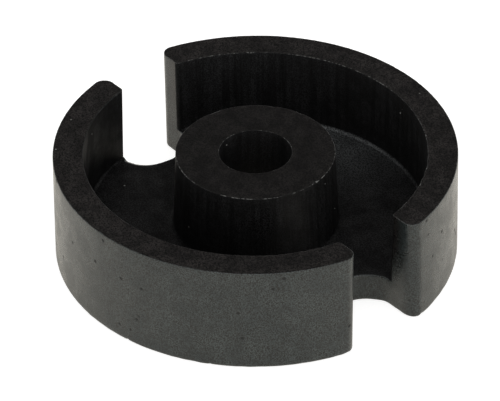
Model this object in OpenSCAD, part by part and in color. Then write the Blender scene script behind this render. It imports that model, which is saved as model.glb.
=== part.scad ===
// One half of a ferrite pot core: a round pressed and fired shell with an outer ring wall,
// a centre post with a through bore, and two slots where the winding's leads come out.
// The ground mating faces of ring and post are level, so two halves close round a bobbin.
// Millimetres. The origin is on the axis at the back, +Z points to the mating face,
// and the slots lie along X.

/* [Ring and base] */
// Outer diameter
outer_d = 18; // [17:0.1:24]
// Height from the back to the ground mating face
half_h = 5.15; // [3.5:0.05:12]
// Inner diameter of the ring wall, which bounds the winding space
ring_inner_d = 15.3; // [14.8:0.1:16.4]
// Thickness of the base under the winding space
base_t = 1.4; // [0.6:0.05:2.4]

/* [Centre post] */
// Diameter of the post at the mating face
post_top_d = 7.1; // [5:0.1:7.2]
// Diameter of the post where it meets the base, larger by the draft of the pressing tool
post_foot_d = 7.4; // [7.2:0.1:9]
// Diameter of the bore through the post
bore_d = 3.25; // [1.5:0.05:4.2]

/* [Lead slots] */
// Width of each slot
slot_w = 3.1; // [1.2:0.1:5]
// Distance between the round inner ends of the two slots, across the base
slot_span = 11.9; // [10:0.1:13]
// Rounding where a slot's side turns into the outside of the ring
slot_outer_r = 0.52; // [0.2:0.02:0.6]
// Rounding where a slot's side turns into the inside of the ring
slot_inner_r = 0.18; // [0.06:0.02:0.4]

/* [Edges and fillets] */
// Rounding of the back's outer edge
back_edge_r = 0.15; // [0.05:0.05:0.3]
// Fillet in the corner between the ring wall and the base
ring_fillet_r = 0.15; // [0.05:0.05:0.5]
// Fillet in the corner between the post and the base
post_fillet_r = 0.2; // [0.05:0.05:0.6]
// Rounding of the bore's edge at the back
bore_edge_r = 0.1; // [0.05:0.05:0.4]

/* [Hidden] */
$fn = 160;
FERRITE = [0.16, 0.16, 0.16];

outer_r = outer_d / 2;
ring_inner_r = ring_inner_d / 2;
post_top_r = post_top_d / 2;
post_foot_r = post_foot_d / 2;
bore_r = bore_d / 2;
slot_half = slot_w / 2;

// How far a cutter reaches past the surface that it cuts
over = 0.5;

// Innermost point of a slot, and the centre of its round inner end
slot_tip_x = slot_span / 2;
slot_end_x = slot_tip_x + slot_half;

// Lean of the post's side from the axis
post_draft = atan((post_foot_r - post_top_r) / (half_h - base_t));

// Centre of the fillet at the post's foot
post_fillet_z = base_t + post_fillet_r;
post_fillet_x = post_foot_r - post_fillet_r * tan(post_draft) + post_fillet_r / cos(post_draft);

// Centre of the outer and the inner rounding at one end of the ring wall
outer_turn_y = slot_half + slot_outer_r;
outer_turn_x = sqrt(pow(outer_r - slot_outer_r, 2) - pow(outer_turn_y, 2));
inner_turn_y = slot_half + slot_inner_r;
inner_turn_x = sqrt(pow(ring_inner_r + slot_inner_r, 2) - pow(inner_turn_y, 2));

// Direction from the axis to each of those centres
outer_turn_angle = atan2(outer_turn_y, outer_turn_x);
inner_turn_angle = atan2(inner_turn_y, inner_turn_x);

// What a rounding of radius r takes off a corner at the origin, where the solid
// fills the quarter x < 0, y > 0 and its corner is at the origin
module corner_off(r) {
    difference() {
        translate([-r, -over]) square([r + over, r + over]);
        translate([-r, r]) circle(r);
    }
}

// Half section of the body, with the axis at x = 0
module half_section() {
    difference() {
        square([outer_r, half_h]);
        // Winding space, with a fillet against the ring wall and one against the drafted post
        difference() {
            polygon([
                [post_foot_r, base_t],
                [ring_inner_r, base_t],
                [ring_inner_r, half_h + over],
                [post_top_r - over * tan(post_draft), half_h + over]
            ]);
            ring_fillet();
            post_fillet();
        }
        // Bore, and the roundings at the back
        translate([-over, -over]) square([bore_r + over, half_h + 2 * over]);
        translate([outer_r, 0]) corner_off(back_edge_r);
        translate([bore_r, 0]) mirror([1, 0]) corner_off(bore_edge_r);
    }
}

module ring_fillet() {
    difference() {
        translate([ring_inner_r - ring_fillet_r, base_t - over])
            square([ring_fillet_r + over, ring_fillet_r + over]);
        translate([ring_inner_r - ring_fillet_r, base_t + ring_fillet_r]) circle(ring_fillet_r);
    }
}

module post_fillet() {
    touch_x = post_fillet_x - post_fillet_r * cos(post_draft);
    touch_z = post_fillet_z - post_fillet_r * sin(post_draft);
    difference() {
        polygon([
            [post_foot_r - over, base_t - over],
            [post_fillet_x, base_t - over],
            [post_fillet_x, base_t],
            [touch_x, touch_z],
            [post_foot_r - over, touch_z]
        ]);
        translate([post_fillet_x, post_fillet_z]) circle(post_fillet_r);
    }
}

// Plan of the slot: a round inner end, straight sides, and sides that flare into the outside
module slot_plan() {
    translate([slot_end_x, 0]) circle(slot_half);
    translate([slot_end_x, -slot_half]) square([outer_r, slot_w]);
    for (side = [0, 1]) mirror([0, side]) flare_plan();
}

module flare_plan() {
    reach = outer_r + over;
    difference() {
        polygon([
            [outer_turn_x, slot_half - over],
            [reach, slot_half - over],
            [reach * cos(outer_turn_angle), reach * sin(outer_turn_angle)],
            [outer_turn_x, outer_turn_y]
        ]);
        translate([outer_turn_x, outer_turn_y]) circle(slot_outer_r);
    }
}

// Plan of the gap in the ring wall above the base, with rounded inner corners
module gap_plan() {
    translate([slot_tip_x, -slot_half]) square([outer_r, slot_w]);
    for (side = [0, 1]) mirror([0, side]) difference() {
        polygon([
            [inner_turn_x, slot_half - over],
            [slot_tip_x, slot_half - over],
            [slot_tip_x, slot_tip_x * tan(inner_turn_angle)],
            [inner_turn_x, inner_turn_y]
        ]);
        translate([inner_turn_x, inner_turn_y]) circle(slot_inner_r);
    }
}

// What one slot takes away: the notch through base and ring, and the rounded gap in the ring wall
module slot() {
    translate([0, 0, -over]) linear_extrude(half_h + 2 * over) slot_plan();
    translate([0, 0, base_t]) linear_extrude(half_h - base_t + over) gap_plan();
}

module core_half() {
    color(FERRITE)
        difference() {
            rotate_extrude() half_section();
            for (turn = [0, 180]) rotate([0, 0, turn]) slot();
        }
}

core_half();
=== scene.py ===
import math

import bmesh
import bpy
from mathutils import Matrix, Vector, noise
from mathutils.geometry import delaunay_2d_cdt


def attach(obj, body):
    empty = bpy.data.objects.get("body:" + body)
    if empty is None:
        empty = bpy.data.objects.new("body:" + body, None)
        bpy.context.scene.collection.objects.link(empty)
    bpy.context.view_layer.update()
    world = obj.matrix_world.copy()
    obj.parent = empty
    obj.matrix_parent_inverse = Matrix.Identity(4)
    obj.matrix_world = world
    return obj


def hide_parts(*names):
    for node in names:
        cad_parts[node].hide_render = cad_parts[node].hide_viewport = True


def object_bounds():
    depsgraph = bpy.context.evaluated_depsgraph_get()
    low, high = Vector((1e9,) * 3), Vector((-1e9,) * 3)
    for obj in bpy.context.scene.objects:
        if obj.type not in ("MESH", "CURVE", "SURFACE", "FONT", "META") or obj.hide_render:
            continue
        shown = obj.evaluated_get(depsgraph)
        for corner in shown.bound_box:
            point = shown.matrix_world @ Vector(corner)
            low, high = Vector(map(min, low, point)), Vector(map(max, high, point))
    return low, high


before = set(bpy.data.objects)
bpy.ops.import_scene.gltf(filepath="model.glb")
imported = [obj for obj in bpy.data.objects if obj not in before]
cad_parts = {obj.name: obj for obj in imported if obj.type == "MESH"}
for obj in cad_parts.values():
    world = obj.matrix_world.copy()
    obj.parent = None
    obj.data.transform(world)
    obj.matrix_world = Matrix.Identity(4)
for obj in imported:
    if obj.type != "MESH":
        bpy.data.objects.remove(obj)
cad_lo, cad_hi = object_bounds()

# ---------------------------------------------------------------- sizes, in millimetres
MM = 0.001
OUTER_R = (cad_hi.y - cad_lo.y) / 2 / MM      # outside of the ring
HALF_H = (cad_hi.z - cad_lo.z) / MM           # from the back to the ground faces
RING_INNER_R = 7.65                           # inside of the ring wall
BASE_T = 1.4                                  # thickness of the base
POST_TOP_R = 3.55                             # centre post at the ground face
POST_FOOT_R = 3.7                             # and at its foot, larger by the tool's draft
BORE_R = 1.625                                # bore through the post
SLOT_HALF = 1.55                              # half of a lead slot's width
SLOT_TIP_X = 5.95                             # innermost point of a slot
SLOT_OUTER_R = 0.5                            # rounding from slot to outside
SLOT_INNER_R = 0.18                           # rounding from slot to inside

# Small features that the pressing tool and the grinding leave
BACK_EDGE_R = 0.15                            # rounded edge of the back
BORE_BACK_R = 0.1                             # and of the bore at the back
RING_FILLET_R = 0.15                          # foot of the ring wall
POST_FILLET_R = 0.2                           # foot of the post
GROUND_EDGE_R = 0.028                         # broken edges of the ground faces
NOTCH_EDGE_R = 0.05                           # upper edge of the notches in the base

# Roughness of the edges: share of their size, and size and seed of the noise
GROUND_ROUGH = dict(share=0.5, size=0.16, seed=3.1)
BACK_ROUGH = dict(share=0.22, size=0.5, seed=5.3)
NOTCH_ROUGH = dict(share=0.5, size=0.2, seed=7.7)

# Chips in the edges: size of the noise, depth, level at which it is full, and seed
CHIP_START = 0.4                              # level of the noise at which a chip begins
COARSE_CHIP = dict(size=0.42, depth=0.05, full=0.65, seed=11.7)
FINE_CHIP = dict(size=0.2, depth=0.03, full=0.6, seed=23.9)
BACK_CHIP = dict(size=0.3, depth=0.06, full=0.65, seed=17.1)
CHIPS_LOST = 0.6                              # share of them that the ring's outside lacks

# Distances over which an edge or a fillet grows to its full size
BORE_FADE = (-0.4, 3.2)                       # broken edge of the ground faces, from the axis
NOTCH_FADE = (0.05, 0.4)                      # notch's upper edge, from the ring's corner
FILLET_FADE = (0.14, 0.45)                    # ring wall's fillet, from the slot's corner

# Unevenness of the real slots
SLOT_SHIFT = 0.05                             # both sit this far towards +Y
SLOT_WIDE_REAR = 0.06                         # the -X slot is wider by this on each side at the back
SLOT_NARROW_TOP = 0.045                       # the +X slot is narrower by this at the ground face
SLOT_WIDE_BACK = 0.03                         # and wider by this at the back
NOTCH_SOFT_R = 0.17                           # the -X notch's upper edge has this more towards -Y
SOFT_FADE = (0.1, 0.5)                        # and grows to it between these distances from the corner
SOFT_SIDE = (0.3, 1.4)                        # and these towards -Y
NOTCH_PULL = 0.1                              # the -X notch ends this much early
NOTCH_PULL_FADE = (0.45, 0.02)                # and that fades over these distances before its sides
NOTCH_PULL_TOP = BASE_T + 0.01                # and acts up to here
CORNER_PULL = 0.2                             # the ring's foot reaches inwards at the +X slot's +Y side
CORNER_FADE = (0.3, 1.2)                      # and that fades between these distances
BESIDE_FADE = (0.5, 2.4)                      # distances beside a slot over which its shift runs out
INWARD_FADE = (4.6, 5.6)                      # and the same from the axis
SIDE_BLEND = 0.8                              # a slot's two sides part within this of its middle

# How much a rounded edge shows bright wear and a painted glint, 0 to 1
GROUND_WEAR_GLINT = 1.0
NOTCH_WEAR_GLINT = 0.4
BACK_WEAR_GLINT = 0.35
WEAR_GLINT_LOST = 0.85                              # share of the wear and painted glint that the ring lacks towards -Y
WEAR_GLINT_SIDE = (-1.0, 2.0)                       # from where to where they return towards +Y

# Where painted shade darkens the slots' sides
SHADE_OUT = (0.15, 0.3)                       # past the inner and past the outer turn
SHADE_UP = (-0.1, 2.2)                        # above the base

# Mesh spacing
STEP = 0.07                                   # along the outlines
ARC_STEPS = 6                                 # fewest steps on an arc
ROUND_ROWS = 5                                # rows over a rounded edge
LOW_ROWS = 9                                  # rows on the wall up to the base's top
HIGH_ROWS = 20                                # rows on the wall above it
POST_COLUMNS = 330
POST_ROWS = 12
BORE_ROWS = 16
TINY = 1e-6                                   # an edge radius under this is a sharp edge
CAP_NEAR = 1e-7                               # points of an outline closer than this are one
MERGE_NEAR = 1e-5                             # and so are points of the mesh closer than this

# Finishes, as places in the list of materials
SKIN, INNER, GROUND, FLOOR = range(4)

# Places worked out from these
QUARTER = math.pi / 2
SLOT_END_X = SLOT_TIP_X + SLOT_HALF
OUTER_TURN_Y = SLOT_HALF + SLOT_OUTER_R
OUTER_TURN_X = math.sqrt((OUTER_R - SLOT_OUTER_R) ** 2 - OUTER_TURN_Y ** 2)
OUTER_TURN = math.atan2(OUTER_TURN_Y, OUTER_TURN_X)
INNER_TURN_Y = SLOT_HALF + SLOT_INNER_R
INNER_TURN_X = math.sqrt((RING_INNER_R + SLOT_INNER_R) ** 2 - INNER_TURN_Y ** 2)
INNER_TURN = math.atan2(INNER_TURN_Y, INNER_TURN_X)


# ---------------------------------------------------------------- small helpers
def smooth(a, b, x):
    """0 below a, 1 above b, and smooth between them."""
    t = min(1.0, max(0.0, (x - a) / (b - a)))
    return t * t * (3 - 2 * t)


def mixed(a, b, t):
    """a at 0 and b at 1."""
    return a + (b - a) * t


def lump(x, y, size, seed):
    """Soft noise from -1 to 1 with lumps of that size in millimetres."""
    return noise.noise(Vector((x / size + seed, y / size - seed, 0.37 * seed)))


def rough(x, y, share, size, seed):
    """Factor for an edge's size, which varies round 1 by that share."""
    return 1 + share * lump(x, y, size, seed)


def chips(x, y, size, depth, full, seed):
    """Depth of the scattered chips at that place."""
    return depth * smooth(CHIP_START, full, lump(x, y, size, seed))


def quarter(first=0):
    """Angles of the rows over a rounded edge, from row first up to a quarter turn."""
    return [QUARTER * k / ROUND_ROWS for k in range(first, ROUND_ROWS + 1)]


# ---------------------------------------------------------------- outlines
# A column is (x, y, nx, ny): a place on an outline and the direction out of the body there.
def line(start, end, normal):
    """Columns from start towards end, without end."""
    count = max(1, round(math.dist(start, end) / STEP))
    out = []
    for i in range(count):
        x = start[0] + (end[0] - start[0]) * i / count
        y = start[1] + (end[1] - start[1]) * i / count
        out.append((x, y, *normal))
    return out


def arc(centre, radius, start, end, outward):
    """Columns from angle start towards end, without end. outward is 1 on a bulge and -1 in a hollow."""
    count = max(ARC_STEPS, round(abs(end - start) * radius / STEP))
    out = []
    for i in range(count):
        a = start + (end - start) * i / count
        c, s = math.cos(a), math.sin(a)
        out.append((centre[0] + radius * c, centre[1] + radius * s, outward * c, outward * s))
    return out


def turned(columns):
    """The same columns half a turn on."""
    return [(-x, -y, -nx, -ny) for x, y, nx, ny in columns]


def outer_half():
    """The ring's outside from the +X slot's inner corner to the -X slot's."""
    down = (0, -1)
    path = line((INNER_TURN_X, SLOT_HALF), (OUTER_TURN_X, SLOT_HALF), down)
    path += arc((OUTER_TURN_X, OUTER_TURN_Y), SLOT_OUTER_R, -QUARTER, OUTER_TURN, 1)
    path += arc((0, 0), OUTER_R, OUTER_TURN, math.pi - OUTER_TURN, 1)
    path += arc((-OUTER_TURN_X, OUTER_TURN_Y), SLOT_OUTER_R, math.pi - OUTER_TURN, 3 * QUARTER, 1)
    path += line((-OUTER_TURN_X, SLOT_HALF), (-INNER_TURN_X, SLOT_HALF), down)
    return path


def notch_end():
    """The -X notch from the +Y ring half's corner round its end to the other half's corner."""
    path = line((-INNER_TURN_X, SLOT_HALF), (-SLOT_END_X, SLOT_HALF), (0, -1))
    path += arc((-SLOT_END_X, 0), SLOT_HALF, QUARTER, -QUARTER, -1)
    path += line((-SLOT_END_X, -SLOT_HALF), (-INNER_TURN_X, -SLOT_HALF), (0, 1))
    return path


def inner_half():
    """The ring's inside from the +X slot's corner to the -X slot's corner, both ends included."""
    path = arc((INNER_TURN_X, INNER_TURN_Y), SLOT_INNER_R, 3 * QUARTER, math.pi + INNER_TURN, 1)
    path += arc((0, 0), RING_INNER_R, INNER_TURN, math.pi - INNER_TURN, -1)
    path += arc((-INNER_TURN_X, INNER_TURN_Y), SLOT_INNER_R, -INNER_TURN, -QUARTER, 1)
    path.append((-INNER_TURN_X, SLOT_HALF, 0, -1))
    return path


# ---------------------------------------------------------------- local size of the edges
def ground_edge(x, y):
    """Broken edge of the ground faces. It is finer round the bore and less chipped outside."""
    reach = math.hypot(x, y)
    size = GROUND_EDGE_R * rough(x, y, **GROUND_ROUGH) * smooth(*BORE_FADE, reach)
    outside = smooth(RING_INNER_R + 0.2, OUTER_R - 0.3, reach)
    chip = chips(x, y, **COARSE_CHIP) + chips(x, y, **FINE_CHIP)
    return size + chip * (1 - CHIPS_LOST * outside)


def back_edge(x, y):
    """Rounded and slightly chipped edge of the back."""
    return BACK_EDGE_R * rough(x, y, **BACK_ROUGH) + chips(x, y, **BACK_CHIP)


def notch_edge(x, y):
    """Upper edge of a notch. It runs out at the ring's corner and is softer on one side of the -X notch."""
    reach = INNER_TURN_X - abs(x)
    size = NOTCH_EDGE_R * smooth(*NOTCH_FADE, reach) * rough(x, y, **NOTCH_ROUGH)
    if x < 0:
        size += NOTCH_SOFT_R * smooth(*SOFT_FADE, reach) * smooth(*SOFT_SIDE, -y)
    return size


def floor_fillet(x, y):
    """Fillet at the ring wall's foot. It runs out at the slot's corner."""
    to_corner = math.hypot(abs(x) - INNER_TURN_X, abs(y) - SLOT_HALF)
    return RING_FILLET_R * smooth(*FILLET_FADE, to_corner)


def wear_glint_left(x, y):
    """Share of bright wear and painted glint on a rounded edge: full round the post, and on the ring only
    towards +Y.
    """
    on_ring = smooth(POST_TOP_R + 1, RING_INNER_R - 1, math.hypot(x, y))
    return 1 - WEAR_GLINT_LOST * on_ring * (1 - smooth(*WEAR_GLINT_SIDE, y))


# ---------------------------------------------------------------- points and faces
class Shell:
    """Collects points in millimetres and the faces between them."""

    def __init__(self):
        self.points = []
        self.wear_glint = []            # how much each point shows bright wear and a painted glint, 0 to 1
        self.faces = []
        self.finish = []          # each face's place in the list of materials
        self.flat = []            # whether each face is plane

    def point(self, x, y, z, wear_glint=0.0):
        self.points.append((x, y, z))
        self.wear_glint.append(wear_glint)
        return len(self.points) - 1

    def face(self, corners, finish, flat=False):
        """A face through the corners, each taken once, where at least three are left."""
        corners = tuple(dict.fromkeys(corners))
        if len(corners) > 2:
            self.faces.append(corners)
            self.finish.append(finish)
            self.flat.append(flat)

    def strip(self, low, high, finish, closed=False, leftward=False, flat=False):
        """Faces between two rows, low below. They look to the right when walking along, or leftward."""
        count = len(low)
        for i in range(count if closed else count - 1):
            j = (i + 1) % count
            if leftward:
                self.face((low[j], low[i], high[i], high[j]), finish, flat)
            else:
                self.face((low[i], low[j], high[j], high[i]), finish, flat)

    def sheet(self, rows, finish, **kind):
        """A strip between each row and the next."""
        for low, high in zip(rows, rows[1:]):
            self.strip(low, high, finish, **kind)

    def cap(self, loops, finish, up):
        """A plane face inside the first loop and outside the others."""
        index = [i for loop in loops for i in loop]
        rings = [[Vector(self.points[i][:2]) for i in loop] for loop in loops]
        edges = []
        first = 0
        for loop in loops:
            edges += [(first + i, first + (i + 1) % len(loop)) for i in range(len(loop))]
            first += len(loop)
        places, _, triangles, origin, _, _ = delaunay_2d_cdt(sum(rings, []), edges, [], 0, CAP_NEAR)
        for t in triangles:
            middle = sum((places[i] for i in t), Vector((0, 0))) / 3
            if not inside(middle, rings[0]) or any(inside(middle, ring) for ring in rings[1:]):
                continue
            corners = [index[origin[i][0]] for i in t]
            a, b, c = (Vector(self.points[i]) for i in corners)
            if ((b - a).cross(c - a).z > 0) != up:
                corners.reverse()
            self.face(corners, finish, flat=True)


def inside(point, ring):
    """Whether a closed ring of points goes round the point."""
    x, y = point
    hit = False
    ax, ay = ring[-1]
    for bx, by in ring:
        if (ay > y) != (by > y) and x < (bx - ax) * (y - ay) / (by - ay) + ax:
            hit = not hit
        ax, ay = bx, by
    return hit


def rounded(shell, columns, size, z_plane, z_sign, wear):
    """Rows from the wall over a convex edge onto the plane at z_plane, without the wall's own row."""
    out = []
    for a in quarter(1):
        row = []
        for x, y, nx, ny in columns:
            r = size(x, y)
            inset = r * (1 - math.cos(a))
            z = z_plane - z_sign * r * (1 - math.sin(a))
            # the wear argument sets bright wear and a painted glint, strongest in the middle of the
            # rounding
            wear_glint = wear * wear_glint_left(x, y) * math.sin(2 * a)
            row.append(shell.point(x - nx * inset, y - ny * inset, z, wear_glint))
        out.append(row)
    return out


# ---------------------------------------------------------------- base and ring
def base_wall(shell, columns, edges):
    """The wall from the back's edge up to the base's top, and on over the notches' upper edges.

    edges holds each column's upper edge radius, 0 along the ring. Returns the row on the back, the row at
    the base's top and the row round the floor.
    """
    rows = rounded(shell, columns, back_edge, 0.0, -1, BACK_WEAR_GLINT)[::-1]
    for k in range(LOW_ROWS + 1):
        row = []
        for (x, y, _, _), r in zip(columns, edges):
            row.append(shell.point(x, y, mixed(back_edge(x, y), BASE_T - r, k / LOW_ROWS)))
        rows.append(row)
    level = rows[-1]
    for a in quarter(1):
        row = []
        for (x, y, nx, ny), r, below in zip(columns, edges, rows[-1]):
            if r < TINY:
                row.append(below)
                continue
            inset = r * (1 - math.cos(a))
            z = BASE_T - r * (1 - math.sin(a))
            # bright wear and a painted glint on the notch's upper edge
            row.append(shell.point(x - nx * inset, y - ny * inset, z, NOTCH_WEAR_GLINT * math.sin(2 * a)))
        rows.append(row)
    shell.sheet(rows, SKIN, closed=True)
    return rows[0], level, rows[-1]


def ring_outside(shell, columns, level):
    """Rows up the outside of a ring half, from level over the ground face's edge."""
    rows = [level]
    for k in range(1, HIGH_ROWS + 1):
        row = []
        for x, y, _, _ in columns:
            row.append(shell.point(x, y, mixed(BASE_T, HALF_H - ground_edge(x, y), k / HIGH_ROWS)))
        rows.append(row)
    rows += rounded(shell, columns, ground_edge, HALF_H, 1, GROUND_WEAR_GLINT)
    shell.sheet(rows, SKIN)
    return rows


def ring_inside(shell, columns, outside):
    """Rows up the inside of a ring half, which share their two ends with the rows of its outside.

    The fillet's middle gets a high wear_and_glint value, and floor_skin paints a highlight along it.
    """
    inner = []
    for a in quarter():
        row = []
        for x, y, nx, ny in columns:
            r = floor_fillet(x, y)
            out = r * (1 - math.sin(a))
            z = BASE_T + r * (1 - math.cos(a))
            row.append(shell.point(x + nx * out, y + ny * out, z, math.sin(2 * a)))
        inner.append(row)
    for k in range(1, HIGH_ROWS + 1):
        row = []
        for x, y, _, _ in columns:
            low = BASE_T + floor_fillet(x, y)
            row.append(shell.point(x, y, mixed(low, HALF_H - ground_edge(x, y), k / HIGH_ROWS)))
        inner.append(row)
    inner += rounded(shell, columns, ground_edge, HALF_H, 1, GROUND_WEAR_GLINT)
    mates = [outside[0]] * ROUND_ROWS + outside
    rows = [[mate[0]] + row + [mate[-1]] for mate, row in zip(mates, inner)]
    shell.sheet(rows[:ROUND_ROWS + 1], FLOOR, leftward=True)
    shell.sheet(rows[ROUND_ROWS:], INNER, leftward=True)
    return rows


def build_walls(shell):
    """Outer wall, notches and ring. Returns the outlines of the floor and of the back."""
    ring, notch = outer_half(), notch_end()
    base = ring + notch + turned(ring) + turned(notch)
    in_notch = ([False] * len(ring) + [True] * len(notch)) * 2
    edges = [notch_edge(x, y) if low else 0.0 for (x, y, _, _), low in zip(base, in_notch)]
    back, level, floor_edge = base_wall(shell, base, edges)
    half = len(ring) + len(notch)
    floor = []
    for start, inner in ((0, inner_half()), (half, turned(inner_half()))):
        notch_start = start + len(ring) + 1
        outer_rows = ring_outside(shell, base[start:notch_start], level[start:notch_start])
        inner_rows = ring_inside(shell, inner[1:-1], outer_rows)
        shell.cap([outer_rows[-1] + inner_rows[-1][-2:0:-1]], GROUND, up=True)
        floor += inner_rows[0] + floor_edge[notch_start:start + half]
    return floor, back


# ---------------------------------------------------------------- post and bore
def post_rows(shell, circle):
    """Rows up the post: the fillet at its foot, its drafted wall and its broken edge."""
    draft = math.atan((POST_FOOT_R - POST_TOP_R) / (HALF_H - BASE_T))
    fillet_at = POST_FOOT_R - POST_FILLET_R * math.tan(draft) + POST_FILLET_R / math.cos(draft)
    rows = []
    for k in range(ROUND_ROWS + 1):
        a = (QUARTER - draft) * k / ROUND_ROWS
        foot_r = fillet_at - POST_FILLET_R * math.sin(a)
        foot_z = BASE_T + POST_FILLET_R * (1 - math.cos(a))
        rows.append([shell.point(foot_r * c, foot_r * s, foot_z) for c, s in circle])
    for k in range(1, POST_ROWS + 1):
        r = mixed(foot_r, POST_TOP_R, k / POST_ROWS)
        row = []
        for c, s in circle:
            top = HALF_H - ground_edge(POST_TOP_R * c, POST_TOP_R * s)
            row.append(shell.point(r * c, r * s, mixed(foot_z, top, k / POST_ROWS)))
        rows.append(row)
    columns = [(POST_TOP_R * c, POST_TOP_R * s, c, s) for c, s in circle]
    return rows + rounded(shell, columns, ground_edge, HALF_H, 1, GROUND_WEAR_GLINT)


def bore_rows(shell, circle):
    """Rows down the bore: its edge in the ground face, its wall and its rounded edge at the back."""
    columns = [(BORE_R * c, BORE_R * s, -c, -s) for c, s in circle]
    rows = rounded(shell, columns, ground_edge, HALF_H, 1, GROUND_WEAR_GLINT)[::-1]
    for k in range(BORE_ROWS + 1):
        row = []
        for x, y, _, _ in columns:
            row.append(shell.point(x, y, mixed(HALF_H - ground_edge(x, y), BORE_BACK_R, k / BORE_ROWS)))
        rows.append(row)
    for a in quarter(1):
        r = BORE_R + BORE_BACK_R * (1 - math.cos(a))
        z = BORE_BACK_R * (1 - math.sin(a))
        rows.append([shell.point(r * c, r * s, z) for c, s in circle])
    return rows


def build_post(shell):
    """Centre post and bore. Returns the rows at the post's foot and at the bore's back."""
    angles = [2 * math.pi * i / POST_COLUMNS for i in range(POST_COLUMNS)]
    circle = [(math.cos(a), math.sin(a)) for a in angles]
    post = post_rows(shell, circle)
    shell.sheet(post[:ROUND_ROWS + 1], FLOOR, closed=True)
    shell.sheet(post[ROUND_ROWS:], INNER, closed=True)
    bore = bore_rows(shell, circle)
    shell.strip(post[-1], bore[0], GROUND, closed=True, flat=True)
    shell.sheet(bore, INNER, closed=True)
    return post[0], bore[-1]


# ---------------------------------------------------------------- the whole body
def uneven(x, y, z):
    """The slots' shift and draft, which run out along the ring, the short notch and the ring's foot."""
    beside = abs(y) - SLOT_HALF
    near = (1 - smooth(*BESIDE_FADE, beside)) * smooth(*INWARD_FADE, abs(x))
    wider = SLOT_WIDE_REAR * (1 - z / HALF_H)
    if x > 0:
        wider = mixed(SLOT_WIDE_BACK, -SLOT_NARROW_TOP, z / HALF_H)
    dy = SLOT_SHIFT + wider * math.copysign(smooth(0.0, SIDE_BLEND, abs(y)), y)
    corner = 1 - smooth(*CORNER_FADE, math.hypot(x - INNER_TURN_X, y - SLOT_HALF))
    dx = -CORNER_PULL * corner * (1 - smooth(BASE_T, HALF_H, z))
    if x < 0 and z < NOTCH_PULL_TOP:
        start, end = (SLOT_END_X - fade for fade in NOTCH_PULL_FADE)
        dx -= NOTCH_PULL * (1 - smooth(start, end, -x))
    return x + near * dx, y + near * dy, z


def slot_shade(x, y, z):
    """Share of painted shade: 1 high up at the inner end of a slot's side, 0 from the outer rounding on and
    on the base.
    """
    out = smooth(INNER_TURN_X + SHADE_OUT[0], OUTER_TURN_X + SHADE_OUT[1], math.hypot(x, y))
    return (1 - out) * smooth(*SHADE_UP, z - BASE_T)


def make_mesh(shell):
    """The shell as a mesh in metres, with its finishes and the two values that the materials read."""
    mesh = bpy.data.meshes.new("core_body")
    places = [tuple(v * MM for v in uneven(*p)) for p in shell.points]
    mesh.from_pydata(places, [], shell.faces)
    for polygon, finish, flat in zip(mesh.polygons, shell.finish, shell.flat):
        polygon.material_index = finish
        polygon.use_smooth = not flat
    shades = [slot_shade(*p) for p in shell.points]
    for name, values in (("wear_and_glint", shell.wear_glint), ("slot_shade", shades)):
        mesh.attributes.new(name, "FLOAT", "POINT").data.foreach_set("value", values)
    merged = bmesh.new()
    merged.from_mesh(mesh)
    bmesh.ops.remove_doubles(merged, verts=merged.verts, dist=MERGE_NEAR * MM)
    merged.to_mesh(mesh)
    merged.free()
    return mesh


def build_core():
    shell = Shell()
    floor_outline, back_outline = build_walls(shell)
    post_foot, bore_back = build_post(shell)
    shell.cap([floor_outline, post_foot], FLOOR, up=True)
    shell.cap([back_outline, bore_back], SKIN, up=False)
    body = bpy.data.objects.new("ferrite_core_half", make_mesh(shell))
    bpy.context.scene.collection.objects.link(body)
    return body


# ---------------------------------------------------------------- materials
class Nodes:
    """Short calls that add nodes to one material or world."""

    def __init__(self, owner):
        owner.use_nodes = True
        self.tree = owner.node_tree

    def add(self, kind, *values, settings=None, **inputs):
        """A node with its first inputs in their order and others by name, where _ is a space."""
        node = self.tree.nodes.new(kind)
        for key, value in (settings or {}).items():
            setattr(node, key, value)
        for socket, value in zip(node.inputs, values):
            self.put(socket, value)
        for name, value in inputs.items():
            self.put(node.inputs[name.replace("_", " ")], value)
        return node

    def put(self, socket, value):
        """Links another node's output to the socket, or sets the socket to the value."""
        if isinstance(value, bpy.types.NodeSocket):
            self.tree.links.new(value, socket)
        else:
            socket.default_value = value

    def math(self, operation, a, b, clamp=False):
        settings = {"operation": operation, "use_clamp": clamp}
        return self.add("ShaderNodeMath", a, b, settings=settings).outputs[0]

    def vector(self, operation, *values, **inputs):
        return self.add("ShaderNodeVectorMath", *values, settings={"operation": operation}, **inputs)

    def noise(self, where, scale, detail=2.0, rough=0.5):
        node = self.add("ShaderNodeTexNoise", Vector=where, Scale=scale, Detail=detail, Roughness=rough)
        return node.outputs["Fac"]

    def ramp(self, value, start=0.0, end=1.0, low=0.0, high=1.0):
        """low up to start, high from end on, smooth between them."""
        settings = {"interpolation_type": "SMOOTHSTEP"}
        node = self.add("ShaderNodeMapRange", settings=settings, Value=value,
                        From_Min=start, From_Max=end, To_Min=low, To_Max=high)
        return node.outputs[0]

    def mix(self, share, a, b):
        """Colour a at share 0 and colour b at 1, which are the node's sockets 6, 7 and output 2."""
        node = self.add("ShaderNodeMix", share, settings={"data_type": "RGBA"})
        self.put(node.inputs[6], a)
        self.put(node.inputs[7], b)
        return node.outputs[2]

    def scaled(self, colour, factor):
        """The colour times a number."""
        return self.vector("SCALE", colour, Scale=factor).outputs[0]

    def millimetres(self, stretch=(1, 1, 1)):
        """The object's coordinates in millimetres, times stretch."""
        place = self.add("ShaderNodeTexCoord").outputs["Object"]
        scale = tuple(v / MM for v in stretch)
        return self.add("ShaderNodeMapping", Vector=place, Scale=scale).outputs[0]

    def spots(self, where, scale, core, rim):
        """Scattered spots, 1 inside and 0 outside. core and rim are shares of their spacing, 1 / scale."""
        node = self.add("ShaderNodeTexVoronoi", Vector=where, Scale=scale, Randomness=1.0)
        return self.ramp(node.outputs["Distance"], core, rim, 1.0, 0.0)

    def attribute(self, name):
        return self.add("ShaderNodeAttribute", settings={"attribute_name": name}).outputs["Fac"]


def grey(r, g, b):
    return (r, g, b, 1.0)


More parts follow.
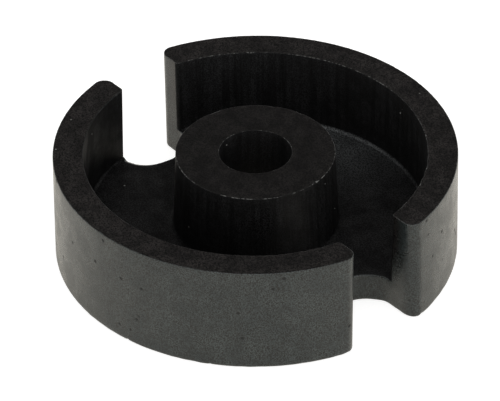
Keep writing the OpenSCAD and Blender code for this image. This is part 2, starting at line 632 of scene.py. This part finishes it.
# Linear colours of the ferrite
SKIN_DARK = grey(0.0140, 0.0184, 0.0192)
SKIN_LIGHT = grey(0.0230, 0.0284, 0.0283)
SLOT_PAINTED_SHADE = grey(0.0082, 0.0070, 0.0067)      # painted shade, where slot_shade is 1
# the skin's tone darkened by painted shade inside the ring, on the post and in the bore
INNER_SHADED_DARK = grey(0.0028, 0.0028, 0.0030)
INNER_SHADED_LIGHT = grey(0.0064, 0.0064, 0.0068)
# the skin's tone darkened by painted shade on the floor of the winding space
FLOOR_SHADED_DARK = grey(0.0064, 0.0065, 0.0069)
FLOOR_SHADED_LIGHT = grey(0.0135, 0.0136, 0.0142)
GROUND_DARK = grey(0.0034, 0.0031, 0.0031)
GROUND_LIGHT = grey(0.0062, 0.0055, 0.0054)
PAINTED_LIGHT_POOL = grey(0.0430, 0.0455, 0.0475)          # painted pool of light on part of the ring's inside and of the floor
WEAR_SPECK_GLINT = grey(0.21, 0.215, 0.21)                # bright wear, light specks and painted glints along the edges

# Middle and reach of each painted pool of light, and its share there, in millimetres
WALL_LIT_POOL_AT, WALL_LIT_POOL_R, WALL_LIT_POOL = (-7.0, 2.8, 3.3), 8.5, 0.10
FLOOR_LIT_POOL_AT, FLOOR_LIT_POOL_R, FLOOR_LIT_POOL = (-3.2, 7.0, 1.4), 6.5, 1.0


def started(name):
    """A new material, its nodes and the place on the object."""
    material = bpy.data.materials.new(name)
    n = Nodes(material)
    return material, n, n.millimetres()


def finished(n, colour, roughness, height, bump, depth, specular):
    """Sets the shader of a ferrite surface. bump is the strength, and depth is in millimetres."""
    normal = n.add("ShaderNodeBump", Strength=bump, Distance=depth * MM, Height=height).outputs[0]
    shader = n.tree.nodes["Principled BSDF"]
    n.put(shader.inputs["Base Color"], colour)
    n.put(shader.inputs["Roughness"], roughness)
    n.put(shader.inputs["Normal"], normal)
    shader.inputs["Specular IOR Level"].default_value = specular


def wear_glint_share(n, where, strength):
    """Broken line of bright wear and painted glint along the edges of the ground faces and the other
    rounded edges.
    """
    patches = n.ramp(n.noise(where, 1.9, detail=3.0, rough=0.6), 0.40, 0.58)
    specks = n.ramp(n.noise(where, 9.0, detail=1.0), 0.42, 0.60)
    share = n.math("MULTIPLY", n.attribute("wear_and_glint"), n.math("MULTIPLY", patches, specks))
    return n.math("MULTIPLY", share, strength, clamp=True)


def lit_pool_share(n, where, middle, reach, most):
    """Share of a painted pool of light, which fades from its middle on."""
    away = n.vector("DISTANCE", where, middle).outputs["Value"]
    return n.ramp(away, 0.0, reach, low=most, high=0.0)


def shaded_space_colour(n, where, dark, light, lit_pool):
    """Colour of the winding space: dark by painted shade, grainy, and paler by the painted pool of light's
    share, with mottle and grain.
    """
    mottle = n.ramp(n.noise(where, 0.8, detail=4.0, rough=0.62), 0.34, 0.66)
    grain = n.noise(where, 17.0, detail=1.0, rough=0.6)
    cloud = n.ramp(n.noise(where, 0.6, detail=3.0, rough=0.6), 0.3, 0.7, low=0.7, high=1.2)
    # painted pool of light, broken up by the cloud noise
    painted_light = n.math("MULTIPLY", lit_pool, cloud, clamp=True)
    colour = n.mix(painted_light, n.mix(mottle, dark, light), PAINTED_LIGHT_POOL)
    colour = n.scaled(colour, n.ramp(grain, 0.36, 0.64, low=0.35, high=1.65))
    colour = n.mix(n.spots(where, 0.9, core=0.02, rim=0.045), colour, WEAR_SPECK_GLINT)
    return colour, mottle, grain


def outer_skin():
    """The grey as-fired skin outside: mottled and grainy, with faint press streaks and small pits. Painted
    shade darkens the pits and the slots' inner sides, and the rounded edges carry bright wear and a painted
    glint.
    """
    material, n, where = started("outer_skin")
    mottle = n.ramp(n.noise(where, 0.9, detail=4.0, rough=0.62), 0.34, 0.66)
    grain = n.noise(where, 18.0, detail=1.0, rough=0.6)
    streak = n.noise(n.millimetres((3.2, 3.2, 0.22)), 1.0, rough=0.6)
    pit = n.spots(where, 1.2, core=0.06, rim=0.15)
    colour = n.mix(mottle, SKIN_DARK, SKIN_LIGHT)
    # painted shade on the slots' inner sides, stronger higher above the base
    colour = n.mix(n.attribute("slot_shade"), colour, SLOT_PAINTED_SHADE)
    colour = n.scaled(colour, n.ramp(grain, 0.38, 0.62, low=0.1, high=1.9))
    colour = n.scaled(colour, n.ramp(streak, 0.3, 0.7, low=0.92, high=1.08))
    # painted shade: the pits are darkened in colour
    colour = n.scaled(colour, n.ramp(pit, low=1.0, high=0.2))
    # bright wear and painted glint along the rounded edges
    colour = n.mix(wear_glint_share(n, where, 0.22), colour, WEAR_SPECK_GLINT)
    height = n.math("SUBTRACT", n.math("MULTIPLY", grain, 0.7), pit)
    rough = n.math("ADD", n.ramp(mottle, low=0.34, high=0.25), n.math("MULTIPLY", pit, 0.4))
    finished(n, colour, rough, height, bump=0.6, depth=0.03, specular=0.42)
    return material


def inner_skin():
    """The duller skin of the ring's inside, the post and the bore, darkened in colour by painted shade,
    with streaks along the axis.
    """
    material, n, where = started("inner_skin")
    lit_pool = lit_pool_share(n, where, WALL_LIT_POOL_AT, WALL_LIT_POOL_R, WALL_LIT_POOL)
    colour, mottle, grain = shaded_space_colour(n, where, INNER_SHADED_DARK, INNER_SHADED_LIGHT, lit_pool)
    streak = n.noise(n.millimetres((4.5, 4.5, 0.2)), 1.0, rough=0.6)
    colour = n.scaled(colour, n.ramp(streak, 0.34, 0.66, low=0.6, high=1.4))
    # bright wear and painted glint along the rounded edges
    colour = n.mix(wear_glint_share(n, where, 0.65), colour, WEAR_SPECK_GLINT)
    rough = n.ramp(mottle, low=0.62, high=0.5)
    finished(n, colour, rough, grain, bump=0.3, depth=0.015, specular=0.14)
    return material


def ground_face():
    """The darker, finely ground mating faces, a little paler towards the ring's outside."""
    material, n, where = started("ground_face")
    mottle = n.ramp(n.noise(where, 1.4, detail=3.0, rough=0.6), 0.36, 0.64)
    grain = n.noise(where, 17.0, detail=1.0, rough=0.65)
    reach = n.vector("LENGTH", where).outputs["Value"]
    colour = n.mix(mottle, GROUND_DARK, GROUND_LIGHT)
    colour = n.scaled(colour, n.ramp(reach, 5.0, 10.0, low=0.8, high=1.8))
    colour = n.scaled(colour, n.ramp(grain, 0.38, 0.62, low=0.0, high=2.0))
    colour = n.mix(n.spots(where, 0.8, core=0.02, rim=0.04), colour, WEAR_SPECK_GLINT)
    rough = n.ramp(mottle, low=0.6, high=0.5)
    finished(n, colour, rough, grain, bump=0.3, depth=0.01, specular=0.05)
    return material


def floor_skin():
    """The floor of the winding space and the fillets round it, darkened by painted shade and paler on one
    side by a painted pool of light.
    """
    material, n, where = started("floor_skin")
    lit_pool = lit_pool_share(n, where, FLOOR_LIT_POOL_AT, FLOOR_LIT_POOL_R, FLOOR_LIT_POOL)
    colour, mottle, grain = shaded_space_colour(n, where, FLOOR_SHADED_DARK, FLOOR_SHADED_LIGHT, lit_pool)
    # painted highlight along the fillets' middle, where wear_and_glint peaks
    colour = n.scaled(colour, n.ramp(n.attribute("wear_and_glint"), 0.3, 1.0, low=1.0, high=1.9))
    rough = n.ramp(mottle, low=0.7, high=0.6)
    finished(n, colour, rough, grain, bump=0.3, depth=0.015, specular=0.05)
    return material


# ---------------------------------------------------------------- camera
# Fitted to the photograph. Lengths are in outer radii, the focal length in pixels of a 500 wide frame.
CAM_DISTANCE = 31.00
CAM_ELEVATION = 36.896
CAM_YAW, CAM_PITCH, CAM_ROLL = -0.0545, -0.3915, 0.657
CAM_FOCAL = 6222.1
FRAME_WIDTH = 500
SENSOR_WIDTH = 36
CLIP = (0.01, 100)                            # nearest and furthest distance, in metres
CAM_TARGET_DEPTH = 0.5626                     # the target lies this far below the ground faces
SLOT_ANGLE = 50.70                            # the camera's turn round the axis from the slots


def turn(axis, degrees):
    return Matrix.Rotation(math.radians(degrees), 3, axis)


def make_camera():
    elevation = math.radians(CAM_ELEVATION)
    place = Vector((0, -CAM_DISTANCE * math.cos(elevation), CAM_DISTANCE * math.sin(elevation)))
    back = place.normalized()
    right = Vector((1, 0, 0))
    level = Matrix((right, back.cross(right), back))
    aim = turn("Z", CAM_ROLL) @ turn("X", CAM_PITCH) @ turn("Y", CAM_YAW) @ level
    about = turn("Z", SLOT_ANGLE)
    radius = OUTER_R * MM
    target = Vector((0, 0, HALF_H * MM - CAM_TARGET_DEPTH * radius))
    data = bpy.data.cameras.new("camera")
    data.sensor_width = SENSOR_WIDTH
    data.lens = CAM_FOCAL * SENSOR_WIDTH / FRAME_WIDTH
    data.clip_start, data.clip_end = CLIP
    camera = bpy.data.objects.new("camera", data)
    bpy.context.scene.collection.objects.link(camera)
    matrix = (aim @ about.transposed()).transposed().to_4x4()
    matrix.translation = about @ (place * radius + target)
    camera.matrix_world = matrix
    bpy.context.scene.camera = camera


# ---------------------------------------------------------------- stage
STAGE_R = 3                                   # the floor's radius, in metres
STAGE_DROP = 0.01                             # and how far it lies below the object, in millimetres
STAGE_ROUGHNESS = 0.9
FLOOR_COLOUR = grey(0.86, 0.84, 0.80)         # the floor as it lights the object from below
FLOOR_SEEN = grey(0.5, 0.5, 0.5)              # and as the camera sees it, where it carries the shadow
CAMERA_LIFT = 0.80                            # lifts the floor to plain white for the camera
GLOSS_LIFT = 0.46                             # and makes it brighter in reflections
GLOSS_TINT = grey(1.0, 0.94, 0.82)

# Radiance of the studio by the sine of the height above the horizon: bright low screens, dimmer above
STUDIO = ((0.0, 1.6), (0.3, 1.0), (0.6, 0.6), (1.0, 0.5))
STUDIO_PEAK = 1.6
STUDIO_TINT = (1.0, 0.985, 0.955)
WINDOW_AT = (0.607, -0.212, 0.766)            # direction of a soft window
WINDOW_RIM, WINDOW_FULL = 0.45, 0.95          # cosines from there at its rim and at its full strength
WINDOW_GAIN = 0.8                             # the share that it adds to the studio


def white_floor():
    material = bpy.data.materials.new("white_floor")
    n = Nodes(material)
    path = n.add("ShaderNodeLightPath").outputs
    camera = path["Is Camera Ray"]
    gloss = n.math("ADD", path["Is Glossy Ray"], path["Is Transmission Ray"], clamp=True)
    shader = n.tree.nodes["Principled BSDF"]
    n.put(shader.inputs["Base Color"], n.mix(camera, FLOOR_COLOUR, FLOOR_SEEN))
    shader.inputs["Roughness"].default_value = STAGE_ROUGHNESS
    shader.inputs["Specular IOR Level"].default_value = 0.0
    n.put(shader.inputs["Emission Color"], n.mix(camera, GLOSS_TINT, grey(1, 1, 1)))
    lift = n.math("ADD", n.math("MULTIPLY", camera, CAMERA_LIFT), n.math("MULTIPLY", gloss, GLOSS_LIFT))
    n.put(shader.inputs["Emission Strength"], lift)
    return material


def make_floor():
    bpy.ops.mesh.primitive_circle_add(vertices=64, radius=STAGE_R, fill_type="NGON",
                                      location=(0, 0, -STAGE_DROP * MM))
    floor = bpy.context.object
    floor.name = "floor"
    floor.data.materials.append(white_floor())


def make_studio():
    world = bpy.data.worlds.new("studio")
    n = Nodes(world)
    direction = n.add("ShaderNodeTexCoord").outputs["Generated"]
    height = n.add("ShaderNodeSeparateXYZ", direction).outputs["Z"]
    ramp = n.add("ShaderNodeValToRGB", height)
    stops = ramp.color_ramp.elements
    while len(stops) < len(STUDIO):
        stops.new(0.5)
    for stop, (place, radiance) in zip(stops, STUDIO):
        stop.position = place
        stop.color = grey(*(v * radiance / STUDIO_PEAK for v in STUDIO_TINT))
    background = n.tree.nodes["Background"]
    n.put(background.inputs["Color"], ramp.outputs["Color"])
    facing = n.vector("DOT_PRODUCT", direction, WINDOW_AT).outputs["Value"]
    window = n.ramp(facing, WINDOW_RIM, WINDOW_FULL, low=1.0, high=1.0 + WINDOW_GAIN)
    n.put(background.inputs["Strength"], n.math("MULTIPLY", window, STUDIO_PEAK))
    bpy.context.scene.world = world


core = build_core()
for material in (outer_skin(), inner_skin(), ground_face(), floor_skin()):
    core.data.materials.append(material)
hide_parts("core_half")
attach(core, "root")

make_camera()
make_floor()
make_studio()
bpy.context.scene.view_settings.view_transform = "Standard"
